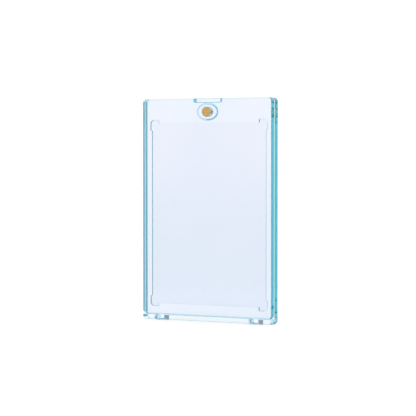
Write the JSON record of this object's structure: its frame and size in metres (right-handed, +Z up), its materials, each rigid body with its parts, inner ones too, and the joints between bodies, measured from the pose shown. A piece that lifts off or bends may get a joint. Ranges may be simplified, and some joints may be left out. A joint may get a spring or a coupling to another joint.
{
  "type": "magnetic card holder",
  "caption": "Clear two-plate holder for a single collectible card, with a hooked cover that swings on bottom tabs and closes on a pair of disc magnets.",
  "frame": {"origin": "middle of the bottom edge of the closed case, in its mid-thickness, on the surface it stands on", "axes": "+X across the card to the right seen from the front, +Y through the thickness from the front cover to the back, +Z up the card"},
  "size_m": [0.0724, 0.0074, 0.111],
  "materials": {
    "clear_base": "clear polished acrylic with a faint blue edge",
    "clear_cover": "clear polished acrylic with a faint blue edge",
    "base_magnet_plate": "satin gold plating",
    "cover_magnet_plate": "satin gold plating"
  },
  "bodies": {
    "base": {"back_base": "clear_base", "base_magnet": "base_magnet_plate"},
    "cover": {"front_cover": "clear_cover", "cover_magnet": "cover_magnet_plate"}
  },
  "joints": [
    {"name": "cover_hinge", "type": "hinge", "parent": "base", "child": "cover", "pos_m": [0, -0.0037, 0.00275], "axis": [1, 0, 0], "range_deg": [0, 60]}
  ]
}
